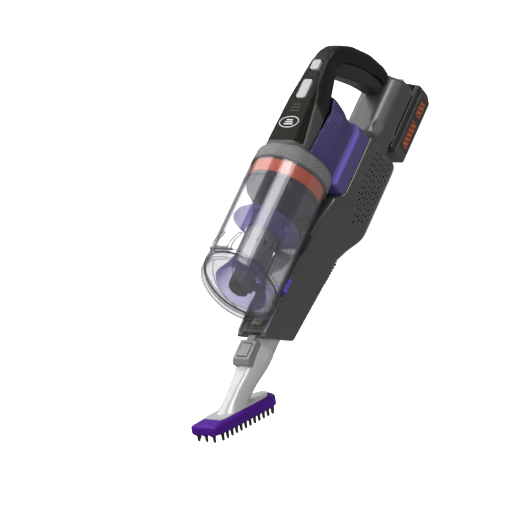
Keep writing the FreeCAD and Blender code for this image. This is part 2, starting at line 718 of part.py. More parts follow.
def battery_shells():
    block = battery_block(0.0).cut(battery_block(2.0))
    groove = battery_block(0.0).cut(battery_block(1.0)).common(box(140, 232, -60, 60, -123.5, -116.0))
    groove = groove.common(Part.makeCompound([box(0, 300, 30, 60, -200, 0), box(0, 300, -60, -30, -200, 0)]))
    label = [box(148, 230, s * 34.6 - 0.6, s * 34.6 + 0.6, -145.5, -127.5) for s in (-1, 1)]
    block = block.cut(groove).cut(Part.makeCompound(label))
    slots = [box(130, 145, y - 0.9, y + 0.9, -107, -99) for y in (-6, 0, 6)]
    block = block.cut(Part.makeCompound(slots))
    block = block.cut(box(230, 242, -12.4, 12.4, -114.4, -103.6))
    top = block.common(box(100, 300, -60, 60, -124.0, 0))
    base = block.common(box(100, 300, -60, 60, -200, -124.05))
    return top, base


def battery_labels():
    return Part.makeCompound([box(148.1, 229.9, s * 34.45 - 0.4, s * 34.45 + 0.4, -145.4, -127.6)
                              for s in (-1, 1)])


def battery_cells():
    return Part.makeCompound([cyl_y(9.1, -32.5, 32.5, 149.0 + 18.8 * i, -136.6) for i in range(5)])


def battery_board():
    board = box(142, 228, -26, 26, -118.0, -116.4)
    sockets = []
    for y in (-6, 0, 6):
        for s in (-1, 1):
            sockets.append(box(141, 150, y + s * 1.3 - 0.35, y + s * 1.3 + 0.35, -117, -100))
    return merge([board] + sockets)


def battery_button():
    return box(236.5, 241.5, -12.0, 12.0, -114.0, -104.0).common(box(200, 300, -60, 60, -200, 0))


# ---------------------------------------------------------------- pet tool
def sole_outline(inset, z0, z1, toe_inset):
    h = HEAD_HALF - inset
    end = HEAD_LENGTH - inset
    half = [(toe_inset, h - 1.5, 2), (30.0, h), (end - h * 0.9, h, h * 0.8), (end, h * 0.32, h * 0.3)]
    return prism_z(mirror_y_outline(half), z0, z1)


def tool_shoe():
    wall = sole_outline(0.0, -12.0, 0.0, 0.0)
    wires = []
    for inset, toe, z in ((0.0, 0.0, -0.02), (6.5, 21.0, 3.0)):
        h = HEAD_HALF - inset
        end = HEAD_LENGTH - inset
        half = [(toe, h - 1.5, 2), (30.0, h), (end - h * 0.9, h, h * 0.8), (end, h * 0.32, h * 0.3)]
        wires.append(rounded_wire(mirror_y_outline(half), lambda u, v: V(u, v, z)))
    bevel = Part.makeLoft(wires, True, True)
    body = merge([wall, bevel])
    body = body.cut(sole_outline(6.6, -8.0, 10.0, 21.1))
    body = body.cut(prism_z([(44, -10, 5), (98, -10, 5), (98, 10, 5), (44, 10, 5)], -20, 10))
    return head_place(body)


def neck_bore():
    return merge([cyl_x(16.0, -240, -100, 0, DUCT_Z), cone_x(12.0, 16.0, -300, -240, 0, DUCT_Z),
                  cyl_x(12.0, -350, -300, 0, DUCT_Z)])


def tool_plate():
    body = sole_outline(6.65, -7.95, 4.2, 21.2)
    body = body.cut(prism_z([(44, -10, 5), (98, -10, 5), (98, 10, 5), (44, 10, 5)], -20, 10))
    body = head_place(body)
    return body.cut(neck_bore())


def nub_spots():
    """Places of the nubs in the sole, from the toe to the heel."""
    spots = [(4.5, y) for y in (-12.5, 0.0, 12.5)]
    for i in range(12):
        spots += [(14.0 + 9.2 * i, -18.6), (14.0 + 9.2 * i, 18.6)]
    return spots + [(122.0, 14.0), (122.0, -14.0), (129.5, 6.5), (129.5, -6.5)]


def tool_nubs(spots):
    nubs = []
    for x, y in spots:
        stem = cyl_z(2.0, -18.6, -12.02, x, y)
        tip = Part.makeSphere(2.0, V(x, y, -18.6))
        nubs.append(stem.fuse(tip).removeSplitter())
    return head_place(Part.makeCompound(nubs))


def tool_neck():
    spigot = cyl_x(TOOL_SPIGOT_R, -206.5, -162, 0, DUCT_Z)
    barrel = merge([cyl_x(19.6, -240, -206.0, 0, DUCT_Z), cone_x(14.6, 19.6, -300, -240, 0, DUCT_Z),
                    cyl_x(14.6, -345, -300, 0, DUCT_Z)])
    body = merge([spigot, barrel])
    under = box(-80, 260, -80, 80, -160, 4.25)
    body = body.cut(head_place(under))
    body = body.cut(neck_bore())
    for s in (-1, 1):
        rib = box(-226, -208.5, s * 19.6 - 1.0, s * 19.6 + 1.0, DUCT_Z + 1, DUCT_Z + 4)
        body = merge([body, rib.cut(cyl_x(17.0, -350, -100, 0, DUCT_Z))])
    return body.cut(latch_block_solid())


def latch_block_solid():
    body = prism_y([(-206.3, -72), (-206.3, -57, 1.5), (-236, -57, 4), (-242, -62, 2), (-240, -70, 2),
                    (-238, -72)], -13, 13)
    tongue = box(-207, -198, -6, 6, -60.8, -58.6)
    return merge([body, tongue])


def tool_latch_block():
    body = latch_block_solid().cut(cyl_x(17.2, -350, -100, 0, DUCT_Z))
    return body.cut(box(-232.4, -211.6, -8.4, 8.4, -61.5, -50))


def tool_latch_button():
    return box(-232.0, -212.0, -8.0, 8.0, -60.0, -56.2).common(
        prism_y([(-232, -60), (-212, -60), (-212, -56.2, 1.2), (-232, -56.2, 1.2)], -20, 20))


# ---------------------------------------------------------------- build and write every node
housing_left, housing_right = housing_halves()
battery_top, battery_base = battery_shells()

NODES = {
    "housing_left": housing_left,
    "housing_right": housing_right,
    "housing_screws": screws(),
    "ribbed_cover": ribbed_cover(),
    "top_shell": top_shell(),
    "control_panel": control_panel(),
    "badge_outline": badge_outline(0.25),
    "indicator_bars": indicator_bars(0.15),
    "display_window": display_window(),
    "switch_board": switch_board(),
    "power_button": power_button(),
    "boost_button": boost_button(),
    "grip_skin": grip_skin(),
    "grip_core": grip_core(),
    "duct_shell": duct_shell(),
    "contact_socket": contact_socket(),
    "contact_pins": contact_pins(),
    "rubber_pad": rubber_pad(),
    "inlet_collar": inlet_collar(),
    "bin_seat": bin_seat(),
    "lock_ring": lock_ring(),
    "bin_seal": bin_seal(),
    "separator_flange": separator_flange(),
    "separator_shroud": separator_shroud(),
    "separator_funnel": separator_funnel(),
    "separator_vane": separator_vane(),
    "separator_skirt": separator_skirt(),
    "separator_cap": separator_cap(),
    "pleated_filter": pleated_filter(),
    "filter_end_rings": filter_end_rings(),
    "air_elbow": air_elbow(),
    "fan_shroud": fan_shroud(),
    "impeller": impeller(),
    "rotor_shaft": rotor_shaft(),
    "rotor_core": rotor_core(),
    "motor_can": motor_can(),
    "stator": stator(),
    "motor_bearings": motor_bearings(),
    "motor_mounts": motor_mounts(),
    "control_board": control_board(),
    "terminal_block": terminal_block(),
    "bin_shell": bin_shell(),
    "bin_lid": bin_lid(),
    "lid_seal": lid_seal(),
    "hinge_pin": cyl_y(HINGE_PIN_R, -17.5, 17.5, HINGE_X, HINGE_Z),
    "lid_release": lid_release(),
    "battery_top": battery_top,
    "battery_base": battery_base,
    "battery_labels": battery_labels(),
    "battery_cells": battery_cells(),
    "battery_board": battery_board(),
    "battery_button": battery_button(),
    "tool_neck": tool_neck(),
    "tool_plate": tool_plate(),
    "tool_shoe": tool_shoe(),
    "tool_nubs": tool_nubs(nub_spots()[:-8]),
    "tool_nubs_heel": tool_nubs(nub_spots()[-8:]),
    "tool_latch_block": tool_latch_block(),
    "tool_latch_button": tool_latch_button(),
}

for name, shape in NODES.items():
    save(name, shape)
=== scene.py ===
"""Cordless stick vacuum hand unit: looks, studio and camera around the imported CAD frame."""
import json
import math

import bmesh
import bpy
import numpy as np
from mathutils import Matrix, Vector

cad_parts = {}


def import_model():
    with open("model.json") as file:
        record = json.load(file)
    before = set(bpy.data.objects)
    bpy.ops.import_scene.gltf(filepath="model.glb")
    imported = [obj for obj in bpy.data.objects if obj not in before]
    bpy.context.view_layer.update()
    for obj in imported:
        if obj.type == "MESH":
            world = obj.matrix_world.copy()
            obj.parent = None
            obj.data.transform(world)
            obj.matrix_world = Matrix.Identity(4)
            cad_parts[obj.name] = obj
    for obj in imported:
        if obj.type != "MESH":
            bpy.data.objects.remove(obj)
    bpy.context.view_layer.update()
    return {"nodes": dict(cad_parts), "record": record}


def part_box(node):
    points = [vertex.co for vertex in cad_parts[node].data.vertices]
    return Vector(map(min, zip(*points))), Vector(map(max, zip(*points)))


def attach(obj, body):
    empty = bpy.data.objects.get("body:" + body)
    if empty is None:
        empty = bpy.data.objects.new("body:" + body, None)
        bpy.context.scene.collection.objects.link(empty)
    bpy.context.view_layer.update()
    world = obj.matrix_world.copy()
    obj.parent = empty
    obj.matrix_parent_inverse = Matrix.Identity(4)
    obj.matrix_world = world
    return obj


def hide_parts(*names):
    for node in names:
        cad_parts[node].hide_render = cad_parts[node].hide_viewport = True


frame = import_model()
NODES = frame["nodes"]
RING_LOW, RING_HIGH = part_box("lock_ring")
AXIS_ORIGIN = Vector((RING_LOW[0], 0.0, (RING_LOW[2] + RING_HIGH[2]) / 2))   # bin joint, on the bin axis
MM = 0.001

# Lengths are in mm. Places are measured from AXIS_ORIGIN, X to the grip and Z up.
RIB_PITCH = 3.2                       # ribs of the purple cover
LOWEST_RIB = -34.0
RIB_DEPTH = 0.95
LEDGE_HIGHLIGHT_HEIGHT = 25.5                   # middle of the painted highlight on the rolled ledge, above the cover's lower edge
LEDGE_TOP = -35.0
LEDGE_DROP = 10.0
LEDGE_REACH = 4.3
RIBBED_HALF = 34.4                    # half width of the cover across its ribs
HOUSING_HALF = 39.9                   # half width of the housing's top edge under the cover
SOLE_TILT = math.radians(38.0)        # sole of the pet tool against the bin axis
SOLE_TOE = (-345.0, -46.6)
SOLE_HALF = 22.0
SOLE_LENGTH = 135.0
NUB_PITCH = 9.2
FIRST_NUB = 14.0
TOE_NUB_PITCH = 12.5
NECK_Z = -82.0
NECK_RADIUS = 19.6
NECK_START = -212.0
POCKET_EDGE = 0.5                     # gap kept round a button in the black skin
LID_X = -159.5                        # where the lid joint crosses the bin axis
LID_SLOPE = 0.24
LID_RIM = -8.4                        # outer edge of the lid's dome, from the joint
DOME_RISE = 8.0
DOME_FALL = 380.0                     # the dome falls by r * r / DOME_FALL
LINE_STEPS = 160                      # points round a moulded line
BEAD_SIDES = 8
BAR_SIDES = 16


# ---------------------------------------------------------------- node helpers
class Graph:
    """A short way to write shader node trees."""

    def __init__(self, name):
        self.material = bpy.data.materials.new(name)
        self.material.use_nodes = True
        self.tree = self.material.node_tree
        self.tree.nodes.clear()
        self.out = self.add("ShaderNodeOutputMaterial")

    def add(self, kind, **values):
        node = self.tree.nodes.new(kind)
        for key, value in values.items():
            setattr(node, key, value)
        return node

    def link(self, a, b):
        self.tree.links.new(a, b)

    def coords(self):
        return self.add("ShaderNodeTexCoord").outputs["Object"]

    def split_coords(self):
        """The X, Y and Z sockets of the place in the row frame."""
        node = self.add("ShaderNodeSeparateXYZ")
        self.link(self.coords(), node.inputs["Vector"])
        return node.outputs

    def noise(self, scale, detail=4.0, rough=0.55):
        node = self.add("ShaderNodeTexNoise")
        node.inputs["Scale"].default_value = scale
        node.inputs["Detail"].default_value = detail
        node.inputs["Roughness"].default_value = rough
        self.link(self.coords(), node.inputs["Vector"])
        return node.outputs["Fac"]

    def spread(self, value, low, high, start=0.3, stop=0.7):
        """Maps a 0..1 noise to a range of numbers."""
        node = self.add("ShaderNodeMapRange")
        node.inputs["From Min"].default_value = start
        node.inputs["From Max"].default_value = stop
        node.inputs["To Min"].default_value = low
        node.inputs["To Max"].default_value = high
        self.link(value, node.inputs["Value"])
        return node.outputs["Result"]

    def mix(self, factor, a, b):
        node = self.add("ShaderNodeMix", data_type="RGBA")
        self.link(factor, node.inputs["Factor"])
        node.inputs[6].default_value = (*a, 1.0)
        node.inputs[7].default_value = (*b, 1.0)
        return node.outputs[2]

    def bump(self, height, strength, distance, normal=None):
        node = self.add("ShaderNodeBump")
        node.inputs["Strength"].default_value = strength
        node.inputs["Distance"].default_value = distance
        self.link(height, node.inputs["Height"])
        if normal is not None:
            self.link(normal, node.inputs["Normal"])
        return node.outputs["Normal"]

    def math(self, operation, a, b=None):
        node = self.add("ShaderNodeMath", operation=operation)
        for socket, value in zip(node.inputs, (a, b)):
            if value is None:
                continue
            if isinstance(value, (int, float)):
                socket.default_value = value
            else:
                self.link(value, socket)
        return node.outputs["Value"]

    def principled(self, **sockets):
        node = self.add("ShaderNodeBsdfPrincipled")
        for key, value in sockets.items():
            node.inputs[key.replace("_", " ")].default_value = value
        return node

    def facing(self, blend):
        """0 where a face looks straight at the ray, 1 where it is seen edge on."""
        node = self.add("ShaderNodeLayerWeight")
        node.inputs["Blend"].default_value = blend
        return node.outputs

    def see_through(self, color):
        node = self.add("ShaderNodeBsdfTransparent")
        self.link(color, node.inputs["Color"])
        return node.outputs["BSDF"]

    def blend(self, share, a, b):
        """share of shader b over shader a."""
        node = self.add("ShaderNodeMixShader")
        if isinstance(share, float):
            node.inputs["Fac"].default_value = share
        else:
            self.link(share, node.inputs["Fac"])
        self.link(a, node.inputs[1])
        self.link(b, node.inputs[2])
        return node.outputs["Shader"]

    def surface(self, body, color, roughness, normal):
        """Feeds a principled shader and puts it on the material's output."""
        self.dress(body, color, roughness, normal)
        self.link(body.outputs["BSDF"], self.out.inputs["Surface"])
        return self.material

    def dress(self, body, color, roughness, normal):
        for socket, value in (("Base Color", color), ("Roughness", roughness), ("Normal", normal)):
            if value is not None:
                self.link(value, body.inputs[socket])


def shade(color, k):
    return tuple(min(1.0, c * k) for c in color)


def moulded(name, color, rough=0.45, grain=900.0, depth=0.00006, strength=0.35, drift=0.10,
            coat=0.0, metal=0.0, specular=0.5):
    """Moulded plastic, rubber or metal: fine surface grain, slow colour drift, uneven gloss."""
    g = Graph(name)
    slow = g.noise(14.0, 3.0)
    fine = g.noise(grain, 1.0, 0.4)
    scuff = g.noise(70.0, 6.0, 0.7)
    body = g.principled(Metallic=metal, Coat_Weight=coat, Coat_Roughness=0.08, Specular_IOR_Level=specular)
    tone = g.mix(g.spread(slow, 0.0, 1.0), shade(color, 1 - drift), shade(color, 1 + drift))
    return g.surface(body, tone, g.spread(scuff, rough - 0.05, rough + 0.06), g.bump(fine, strength, depth))


def clear_plastic(name, tint, edge_tint, gloss_low, gloss_high, rough, haze):
    """Thin clear moulding: the inside shows through, edges darken, lamps leave soft streaks."""
    g = Graph(name)
    edge_on = g.spread(g.facing(0.5)["Facing"], 0.0, 1.0, 0.55, 0.97)
    mist = g.principled(Base_Color=(0.75, 0.75, 0.77, 1.0), Roughness=0.7)
    body = g.blend(haze, g.see_through(g.mix(edge_on, tint, edge_tint)), mist.outputs["BSDF"])
    shell = g.principled(Metallic=0.9, Base_Color=(0.93, 0.93, 0.95, 1.0))
    g.dress(shell, None, g.spread(g.noise(160.0, 5.0, 0.7), rough, rough + 0.05),
            g.bump(g.noise(22.0, 1.0), 0.10, 0.0003))
    share = g.spread(g.facing(0.34)["Fresnel"], gloss_low, gloss_high, 0.04, 0.7)
    g.link(g.blend(share, body, shell.outputs["BSDF"]), g.out.inputs["Surface"])
    return g.material


def tinted_plastic(name, color, edge_color, density):
    """Coloured see-through moulding with a soft sheen."""
    g = Graph(name)
    facing = g.facing(0.45)["Facing"]
    see = g.see_through(g.mix(g.spread(facing, 0.0, 1.0, 0.1, 1.0), color, edge_color))
    shell = g.principled(Specular_IOR_Level=0.5)
    g.dress(shell, g.mix(g.spread(g.noise(20.0), 0.0, 1.0), shade(edge_color, 0.8), shade(edge_color, 1.1)),
            g.spread(g.noise(150.0, 4.0), 0.12, 0.24), g.bump(g.noise(500.0), 0.15, 0.00004))
    share = g.spread(facing, density, min(1.0, density + 0.4), 0.0, 1.0)
    g.link(g.blend(share, see, shell.outputs["BSDF"]), g.out.inputs["Surface"])
    return g.material


def grip_plastic(name, soft, front):
    """Black soft-touch grip that turns to olive-grey hard plastic in front of the finger hole."""
    g = Graph(name)
    at = g.split_coords()
    low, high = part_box("control_panel")
    slant, change, blur = 0.6, 0.062, 0.008
    start = g.math("SUBTRACT", at["X"], g.math("MULTIPLY", g.math("SUBTRACT", at["Z"], high.z), slant))
    tone = g.spread(start, 0.0, 1.0, low.x + change, low.x + change + blur)
    return g.surface(g.principled(Specular_IOR_Level=0.2), g.mix(tone, front, soft),
                     g.spread(g.noise(70.0, 6.0, 0.7), 0.34, 0.46),
                     g.bump(g.noise(1500.0, 1.0, 0.4), 0.35, 0.00005))


def rolled_edge_plastic(name, color, edge_color):
    """Purple cover plastic with painted shade between the ribs and a painted highlight along the rolled ledge under
    them.
    """
    g = Graph(name)
    height = g.split_coords()["Z"]
    # Painted highlight: a lighter violet band centred on the rolled ledge, fading out within about 6 mm of it.
    highlight_offset = g.math("ABSOLUTE", g.math("SUBTRACT", height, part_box("ribbed_cover")[0].z + LEDGE_HIGHLIGHT_HEIGHT * MM))
    drift = g.math("MULTIPLY", g.noise(14.0, 3.0), 0.0012)
    tone = g.spread(g.math("ADD", highlight_offset, drift), 1.0, 0.0, 0.0016, 0.0062)
    # Painted shade: the colour darkens to 0.45 of itself in the grooves between the ribs.
    above = g.math("SUBTRACT", height, AXIS_ORIGIN.z)
    turn = g.math("MULTIPLY", above, 2 * math.pi / (RIB_PITCH * MM))
    wave = g.math("MULTIPLY", g.math("COSINE", turn), -0.5)
    ribbed = g.math("GREATER_THAN", above, LOWEST_RIB * MM)
    groove_shade = g.math("MULTIPLY", g.math("ADD", wave, 0.5), ribbed)
    shade_and_highlight = g.add("ShaderNodeMix", data_type="RGBA")
    g.link(tone, shade_and_highlight.inputs["Factor"])
    g.link(g.mix(groove_shade, color, shade(color, 0.45)), shade_and_highlight.inputs[6])
    # This second colour is the painted highlight on the rolled ledge.
    shade_and_highlight.inputs[7].default_value = (*edge_color, 1.0)
    body = g.principled(Specular_IOR_Level=0.45, Specular_Tint=(0.75, 0.68, 1.0, 1.0))
    return g.surface(body, shade_and_highlight.outputs[2], g.spread(g.noise(70.0, 6.0, 0.7), 0.26, 0.36),
                     g.bump(g.noise(1400.0, 1.0, 0.4), 0.3, 0.00004))


def grip_ring(name, color):
    """Mid-grey ring with fine chevrons moulded around it and a plain band at each edge; its colour carries a
    painted highlight on the chevron crests and painted shade in the troughs.
    """
    g = Graph(name)
    at = g.split_coords()
    radius = (RING_HIGH.z - RING_LOW.z) / 2
    half_band, pitch, zigzag, steep = 0.0088, 0.0034, 0.0105, 0.75
    along = g.math("SUBTRACT", at["X"], (RING_LOW.x + RING_HIGH.x) / 2)
    angle = g.math("ARCTAN2", at["Y"], g.math("SUBTRACT", at["Z"], AXIS_ORIGIN.z))
    girth = g.math("ADD", g.math("MULTIPLY", angle, radius), 4.0)         # 4 keeps the value positive
    fold = g.math("MULTIPLY", g.math("PINGPONG", girth, zigzag), steep)
    ridge = g.math("SINE", g.math("MULTIPLY", g.math("ADD", along, fold), 2 * math.pi / pitch))
    inside = g.math("MULTIPLY", g.math("SUBTRACT", half_band, g.math("ABSOLUTE", along)), 2000.0)
    window = g.math("MINIMUM", g.math("MAXIMUM", inside, 0.0), 1.0)
    # Painted highlight on the chevron crests and painted shade in the troughs; the plain bands keep the darker
    # colour.
    tone = g.math("MULTIPLY", g.math("MULTIPLY", g.math("ADD", ridge, 1.0), 0.5), window)
    grain = g.bump(g.noise(1200.0), 0.3, 0.00005)
    return g.surface(g.principled(), g.mix(tone, shade(color, 0.55), shade(color, 1.25)),
                     g.spread(g.noise(80.0, 5.0), 0.30, 0.42),
                     g.bump(g.math("MULTIPLY", ridge, window), 0.8, 0.0005, grain))


def striped_label(name, ground, ink):
    """Dark film with plain slanted bars in place of any wording."""
    g = Graph(name)
    at = g.split_coords()
    low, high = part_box("battery_labels")
    slant, pitch, space, half_tall = 0.35, 0.0036, 0.0011, 0.0052
    gap_at, half_gap, middle, half_long = 0.050, 0.0045, 0.041, 0.036
    along = g.math("SUBTRACT", at["X"], low.x)
    across = g.math("SUBTRACT", at["Z"], (low.z + high.z) / 2)
    slanted = g.math("ADD", along, g.math("MULTIPLY", across, slant))
    bar = g.math("GREATER_THAN", g.math("PINGPONG", slanted, pitch), space)
    band = g.math("LESS_THAN", g.math("ABSOLUTE", across), half_tall)
    gap = g.math("GREATER_THAN", g.math("ABSOLUTE", g.math("SUBTRACT", along, gap_at)), half_gap)
    ends = g.math("LESS_THAN", g.math("ABSOLUTE", g.math("SUBTRACT", along, middle)), half_long)
    mask = g.math("MULTIPLY", g.math("MULTIPLY", bar, band), g.math("MULTIPLY", gap, ends))
    return g.surface(g.principled(Coat_Weight=0.3, Coat_Roughness=0.12), g.mix(mask, ground, ink),
                     g.spread(g.noise(90.0, 5.0), 0.28, 0.4),
                     g.bump(g.math("ADD", g.noise(700.0), mask), 0.3, 0.00005))


# ---------------------------------------------------------------- materials
MAT = {
    "body_grey": moulded("body_grey", (0.072, 0.072, 0.073), 0.30, 1300.0, 0.00004, 0.25, 0.06, specular=0.6),
    "black_soft": grip_plastic("black_soft", (0.010, 0.010, 0.0105), (0.085, 0.087, 0.080)),
    "grip_core": moulded("grip_core", (0.022, 0.022, 0.023), 0.42, 1500.0, 0.00006, 0.4, 0.1, specular=0.35),
    "black_gloss": moulded("black_gloss", (0.020, 0.021, 0.017), 0.30, 400.0, 0.00002, 0.1, specular=0.03),
    "ring_grey": grip_ring("ring_grey", (0.27, 0.27, 0.265)),
    # The purple cover's second colour is a painted highlight along its rolled ledge.
    "purple_cover": rolled_edge_plastic("purple_cover", (0.108, 0.082, 0.265), (0.27, 0.19, 0.85)),
    "purple_bright": moulded("purple_bright", (0.12, 0.07, 0.58), 0.25, 900.0, 0.00003, 0.2, 0.08, coat=0.4),
    "purple_rubber": moulded("purple_rubber", (0.080, 0.010, 0.29), 0.36, 1000.0, 0.00005, 0.3, specular=0.10),
    "dark_rubber": moulded("dark_rubber", (0.012, 0.009, 0.016), 0.55, 900.0, 0.00006, 0.4, 0.1),
    "orange": moulded("orange", (0.62, 0.075, 0.012), 0.3, 700.0, 0.00004, 0.25, 0.08),
    "separator_grey": moulded("separator_grey", (0.10, 0.10, 0.112), 0.38, 1100.0, 0.00005, 0.3, 0.08),
    "filter_white": moulded("filter_white", (0.68, 0.66, 0.6), 0.85, 1600.0, 0.0002, 0.6, 0.08),
    "button_grey": moulded("button_grey", (0.42, 0.45, 0.44), 0.3, 900.0, 0.00003, 0.25, 0.04, coat=0.2),
    "white_plastic": moulded("white_plastic", (0.60, 0.60, 0.605), 0.22, 700.0, 0.00002, 0.2, 0.03, coat=0.7),
    "latch_grey": moulded("latch_grey", (0.25, 0.25, 0.255), 0.26, 900.0, 0.00004, 0.25, 0.06),
    "badge_white": moulded("badge_white", (0.72, 0.73, 0.73), 0.4, 900.0, 0.00002, 0.2, 0.04),
    "lens": moulded("lens", (0.006, 0.007, 0.007), 0.2, 500.0, 0.00001, 0.1, 0.2, specular=0.12),
    "steel": moulded("steel", (0.5, 0.5, 0.51), 0.3, 1200.0, 0.00003, 0.3, 0.06, metal=1.0),
    "brass": moulded("brass", (0.72, 0.5, 0.2), 0.28, 1200.0, 0.00002, 0.2, 0.06, metal=1.0),
    "circuit_board": moulded("circuit_board", (0.015, 0.085, 0.035), 0.4, 900.0, 0.00005, 0.3, 0.2),
    "battery_case": moulded("battery_case", (0.014, 0.014, 0.015), 0.42, 1500.0, 0.00007, 0.45, 0.1),
    "battery_frame": moulded("battery_frame", (0.070, 0.058, 0.050), 0.40, 1300.0, 0.00006, 0.35, 0.08),
    "label_orange": striped_label("label_orange", (0.030, 0.017, 0.012), (0.60, 0.10, 0.012)),
    "cell_wrap": moulded("cell_wrap", (0.02, 0.15, 0.32), 0.3, 700.0, 0.00003, 0.2, 0.08),
    "copper_steel": moulded("copper_steel", (0.42, 0.3, 0.22), 0.4, 1200.0, 0.00006, 0.3, 0.15, metal=1.0),
    "clear_bin": clear_plastic("clear_bin", (0.975, 0.975, 0.98), (0.15, 0.155, 0.17),
                               gloss_low=0.042, gloss_high=0.16, rough=0.075, haze=0.012),
    "clear_lid": clear_plastic("clear_lid", (0.79, 0.79, 0.80), (0.10, 0.10, 0.115),
                               gloss_low=0.030, gloss_high=0.14, rough=0.08, haze=0.06),
    "purple_clear": tinted_plastic("purple_clear", (0.85, 0.81, 0.95), (0.38, 0.29, 0.68), 0.10),
    "clear_edge": moulded("clear_edge", (0.075, 0.075, 0.085), 0.5, 900.0, 0.00002, 0.2, 0.1, specular=0.1),
    "smoke_clear": tinted_plastic("smoke_clear", (0.58, 0.56, 0.63), (0.11, 0.10, 0.15), 0.25),
    "bar_dark": moulded("bar_dark", (0.05, 0.052, 0.05), 0.35, 900.0, 0.00002, 0.2, 0.04, specular=0.1),
}
LOOK_OF_NODE = {"indicator_bars": "bar_dark", "bin_lid": "clear_lid"}

slot_of = {row["node"]: row["material_slot"] for row in frame["record"]["subparts"]}
for name, node in NODES.items():
    node.data.materials.clear()
    node.data.materials.append(MAT[LOOK_OF_NODE.get(name, slot_of[name])])
    for polygon in node.data.polygons:
        polygon.use_smooth = True


# ---------------------------------------------------------------- places
def place(x, y, z):
    """From millimetres about the bin joint to metres in the row frame."""
    return AXIS_ORIGIN + Vector((x, y, z)) * MM


def on_sole(x, y, z):
    """From the pet tool's own frame, in millimetres, to the row frame."""
    c, s = math.cos(SOLE_TILT), math.sin(SOLE_TILT)
    return place(SOLE_TOE[0] + x * c + z * s, y, SOLE_TOE[1] - x * s + z * c)


# ---------------------------------------------------------------- mesh helpers
def shown(name, mesh, body, look, replaces=()):
    """Puts a mesh in the scene on a body, in place of the CAD nodes that it replaces."""
    thing = bpy.data.objects.new(name, mesh)
    bpy.context.scene.collection.objects.link(thing)
    mesh.materials.clear()
    mesh.materials.append(MAT[look])
    mesh.polygons.foreach_set("use_smooth", [True] * len(mesh.polygons))
    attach(thing, body)
    if replaces:
        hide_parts(*replaces)
    return thing


def around(count):
    """Angles of count even steps round a circle."""
    return [2 * math.pi * j / count for j in range(count)]


def even_mesh(names, voxel):
    """Small even faces over CAD nodes, so that their edges can be rounded."""
    joined = bmesh.new()
    for name in names:
        joined.from_mesh(NODES[name].data)
    rough = bpy.data.meshes.new("rough")
    joined.to_mesh(rough)
    joined.free()
    work = bpy.data.objects.new("work", rough)
    bpy.context.scene.collection.objects.link(work)
    step = work.modifiers.new("even", "REMESH")
    step.mode = "VOXEL"
    step.voxel_size = voxel
    graph = bpy.context.evaluated_depsgraph_get()
    mesh = bpy.data.meshes.new_from_object(work.evaluated_get(graph))
    bpy.data.objects.remove(work)
    return mesh


def points_of(mesh):
    flat = np.empty(len(mesh.vertices) * 3)
    mesh.vertices.foreach_get("co", flat)
    return flat.reshape(-1, 3)


def set_points(mesh, points):
    mesh.vertices.foreach_set("co", points.ravel())
    mesh.update()


def axis_mm(points):
    return (points - np.array(AXIS_ORIGIN)) / MM


def relax(mesh, rounds, weight=None):
    """Rounds edges off: each point moves towards the middle of its neighbours."""
    points = points_of(mesh)
    ends = np.empty(len(mesh.edges) * 2, dtype=np.int64)
    mesh.edges.foreach_get("vertices", ends)
    ends = ends.reshape(-1, 2)
    pull = np.ones(len(points)) if weight is None else weight(axis_mm(points))
    ends = ends[(pull[ends] > 0.001).any(axis=1)]
    used, short = np.unique(ends, return_inverse=True)
    a, b = short.reshape(-1, 2).T
    count = len(used)
    degree = np.bincount(a, minlength=count) + np.bincount(b, minlength=count)
    near, pull = points[used], 0.5 * pull[used][:, None]
    for _ in range(rounds):
        middle = np.empty_like(near)
        for k in range(3):
            middle[:, k] = (np.bincount(a, near[b, k], count) + np.bincount(b, near[a, k], count)) / degree
        near += pull * (middle - near)
    points[used] = near
    set_points(mesh, points)


def normals_of(mesh):
    flat = np.empty(len(mesh.vertices) * 3)
    mesh.vertices.foreach_get("normal", flat)
    return flat.reshape(-1, 3)


def smooth_step(value, low, high):
    t = np.clip((value - low) / (high - low), 0.0, 1.0)
    return t * t * (3 - 2 * t)


def rounded_skin(name, nodes, body, look, voxel, rounds, weight=None, more=0, trim=0.0):
    """Rounded copy of CAD nodes. more rounds follow where weight says, and trim sets the skin back."""
    mesh = even_mesh(nodes, voxel * MM)
    relax(mesh, rounds)
    if more:
        relax(mesh, more, weight)
    if trim:
        set_points(mesh, points_of(mesh) - normals_of(mesh) * trim * MM)
    return shown(name, mesh, body, look, nodes)


def built(name, points, faces, body, look, replaces=()):
    """A visible piece from points and faces, with its normals turned outwards."""
    mesh = bpy.data.meshes.new(name)
    mesh.from_pydata(points, [], faces)
    clean = bmesh.new()
    clean.from_mesh(mesh)
    bmesh.ops.recalc_face_normals(clean, faces=clean.faces)
    clean.to_mesh(mesh)
    clean.free()
    return shown(name, mesh, body, look, replaces)


def band_faces(rings, count, closed=False):
    """Quads between neighbouring rings of count points each."""
    faces = []
    for i in range(rings if closed else rings - 1):
        n = (i + 1) % rings
        for j in range(count):
            k = (j + 1) % count
            faces.append((i * count + j, i * count + k, n * count + k, n * count + j))
    return faces


def capped_faces(rings, count):
    """band_faces with the first and last ring closed."""
    last = (rings - 1) * count
    return band_faces(rings, count) + [tuple(range(count)), tuple(range(last, last + count))]


def lofted(name, rings, body, look, replaces=()):
    """Quads between rings of points that all have the same count."""
    points = [tuple(p) for ring in rings for p in ring]
    built(name, points, band_faces(len(rings), len(rings[0])), body, look, replaces)


def merged(name, parts, body, look, replaces=()):
    """One mesh from several lists of (points, faces)."""
    points, faces = [], []
    for some_points, some_faces in parts:
        start = len(points)
        points += [tuple(p) for p in some_points]
        faces += [tuple(start + i for i in face) for face in some_faces]
    built(name, points, faces, body, look, replaces)


def turned(profile, segments, put):
    """Points and faces of a body of revolution. profile is (height, radius), put places (x, y, z)."""
    angles = around(segments)
    points = [put(r * math.cos(a), r * math.sin(a), height) for height, r in profile for a in angles]
    return points, capped_faces(len(profile), segments)


